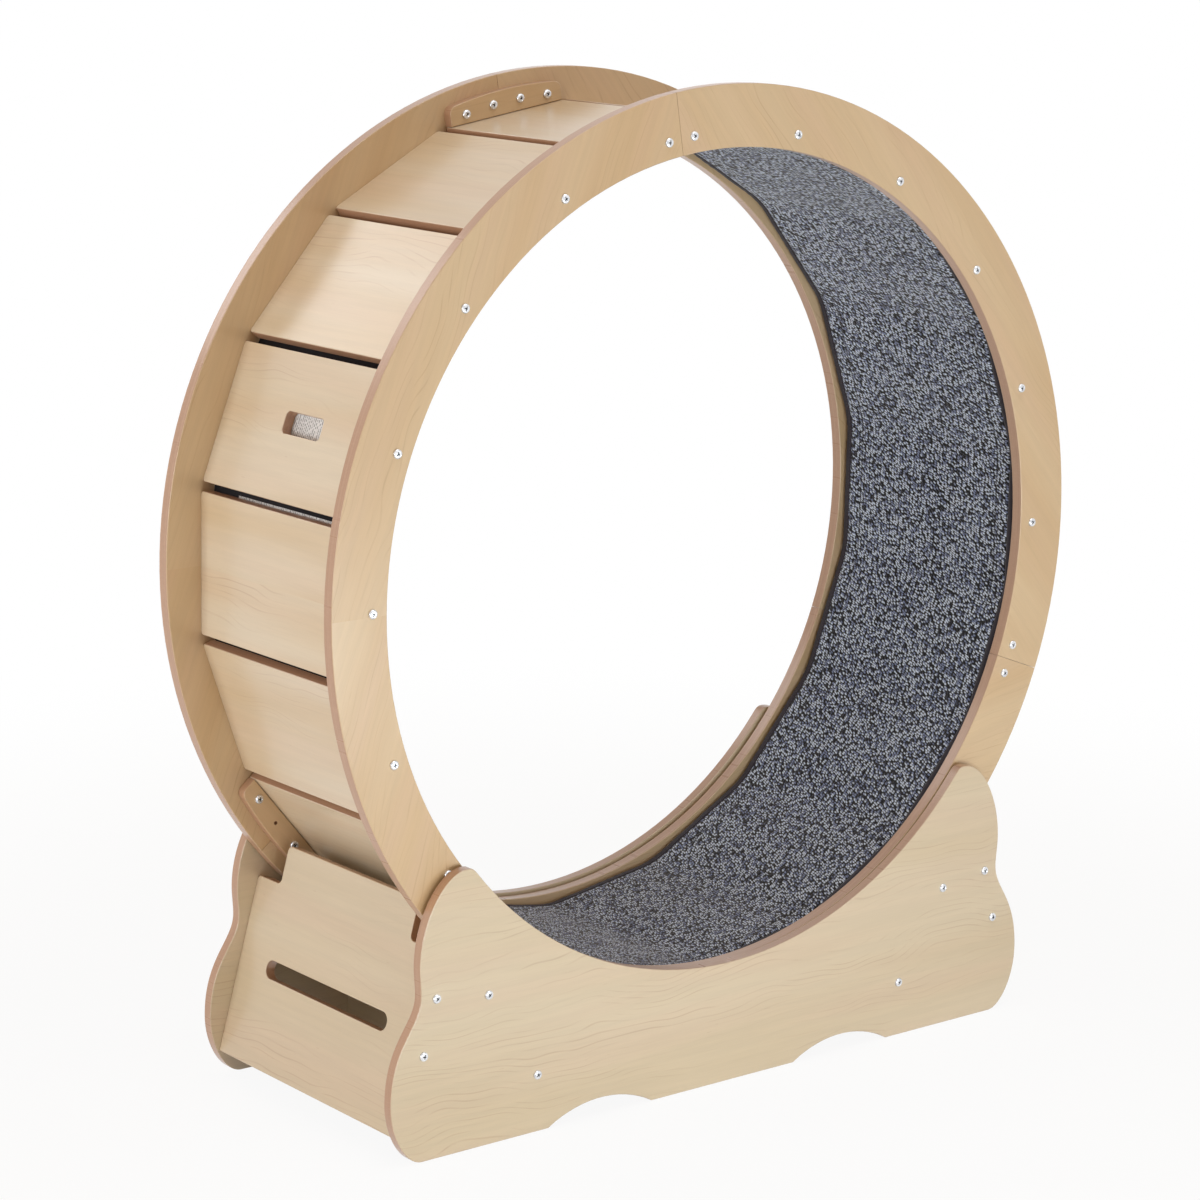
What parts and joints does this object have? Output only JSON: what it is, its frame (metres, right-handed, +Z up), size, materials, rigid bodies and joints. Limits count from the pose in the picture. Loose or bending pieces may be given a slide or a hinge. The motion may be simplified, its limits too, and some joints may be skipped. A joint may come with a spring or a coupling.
{
  "type": "cat exercise wheel",
  "caption": "Slatted wooden running wheel lined with a grey carpet mat, lying on small grooved rollers between the two waved side panels of a low base.",
  "frame": {"origin": "on the floor, under the centre of the wheel", "axes": "+Z up, +Y along the wheel's axis from the front side panel to the back one, +X along the base"},
  "size_m": [0.9999, 0.3518, 1.0659],
  "materials": {
    "ring_board": "clear satin lacquer over a pale printed maple grain, brown machined edges",
    "slat_board": "clear satin lacquer over a pale maple grain",
    "base_board": "clear satin lacquer over a pale maple grain",
    "mat_pile": "looped pile in mixed dark and light grey yarns",
    "mat_binding": "woven polyester tape",
    "closure_strip": "white hook-and-loop tape",
    "zinc_screw": "bright zinc plate",
    "axle_steel": "drawn bar",
    "bearing_steel": "ground and polished",
    "sleeve_plastic": "extruded tube",
    "roller_nylon": "moulded nylon",
    "dowel_wood": "fluted beech"
  },
  "bodies": {
    "base": {"axle_screws": "zinc_screw", "axle_sleeves": "sleeve_plastic", "back_side_panel": "base_board", "bearing_balls": "bearing_steel", "bearing_inner_races": "bearing_steel", "front_side_panel": "base_board", "left_axle": "axle_steel", "left_end_panel": "base_board", "left_stretcher": "base_board", "panel_screws": "zinc_screw", "right_axle": "axle_steel", "right_end_panel": "base_board", "right_stretcher": "base_board", "stretcher_dowels": "dowel_wood"},
    "wheel": {"back_mat_binding": "mat_binding", "back_ring_segment_1": "ring_board", "back_ring_segment_2": "ring_board", "back_ring_segment_3": "ring_board", "back_splice_plate_1": "ring_board", "back_splice_plate_2": "ring_board", "back_splice_plate_3": "ring_board", "front_mat_binding": "mat_binding", "front_ring_segment_1": "ring_board", "front_ring_segment_2": "ring_board", "front_ring_segment_3": "ring_board", "front_splice_plate_1": "ring_board", "front_splice_plate_2": "ring_board", "front_splice_plate_3": "ring_board", "mat_closure_strip": "closure_strip", "running_mat": "mat_pile", "slat_01": "slat_board", "slat_02": "slat_board", "slat_03": "slat_board", "slat_04": "slat_board", "slat_05": "slat_board", "slat_06": "slat_board", "slat_07": "slat_board", "slat_08": "slat_board", "slat_09": "slat_board", "slat_10": "slat_board", "slat_11": "slat_board", "slat_12": "slat_board", "slat_13": "slat_board", "slat_14": "slat_board", "slat_15": "slat_board", "slat_16": "slat_board", "slat_17": "slat_board", "slat_18": "slat_board", "slat_screws": "zinc_screw", "splice_screws": "zinc_screw"},
    "front_left_roller_unit": {"front_left_roller": "roller_nylon", "front_left_outer_race": "bearing_steel"},
    "front_right_roller_unit": {"front_right_roller": "roller_nylon", "front_right_outer_race": "bearing_steel"},
    "back_left_roller_unit": {"back_left_roller": "roller_nylon", "back_left_outer_race": "bearing_steel"},
    "back_right_roller_unit": {"back_right_roller": "roller_nylon", "back_right_outer_race": "bearing_steel"}
  },
  "joints": [
    {"name": "wheel_spin", "type": "hinge", "parent": "base", "child": "wheel", "pos_m": [0, 0, 0.566], "axis": [0, 1, 0], "continuous": true},
    {"name": "front_left_roller_spin", "type": "hinge", "parent": "base", "child": "front_left_roller_unit", "pos_m": [-0.31879, -0.15, 0.16089], "axis": [0, 1, 0], "continuous": true},
    {"name": "front_right_roller_spin", "type": "hinge", "parent": "base", "child": "front_right_roller_unit", "pos_m": [0.31879, -0.15, 0.16089], "axis": [0, 1, 0], "continuous": true},
    {"name": "back_left_roller_spin", "type": "hinge", "parent": "base", "child": "back_left_roller_unit", "pos_m": [-0.31879, 0.15, 0.16089], "axis": [0, 1, 0], "continuous": true},
    {"name": "back_right_roller_spin", "type": "hinge", "parent": "base", "child": "back_right_roller_unit", "pos_m": [0.31879, 0.15, 0.16089], "axis": [0, 1, 0], "continuous": true}
  ],
  "couplings": [
    {"joint": "front_left_roller_spin", "follows": "wheel_spin", "ratio": -32.895},
    {"joint": "front_right_roller_spin", "follows": "wheel_spin", "ratio": -32.895},
    {"joint": "back_left_roller_spin", "follows": "wheel_spin", "ratio": -32.895},
    {"joint": "back_right_roller_spin", "follows": "wheel_spin", "ratio": -32.895}
  ]
}
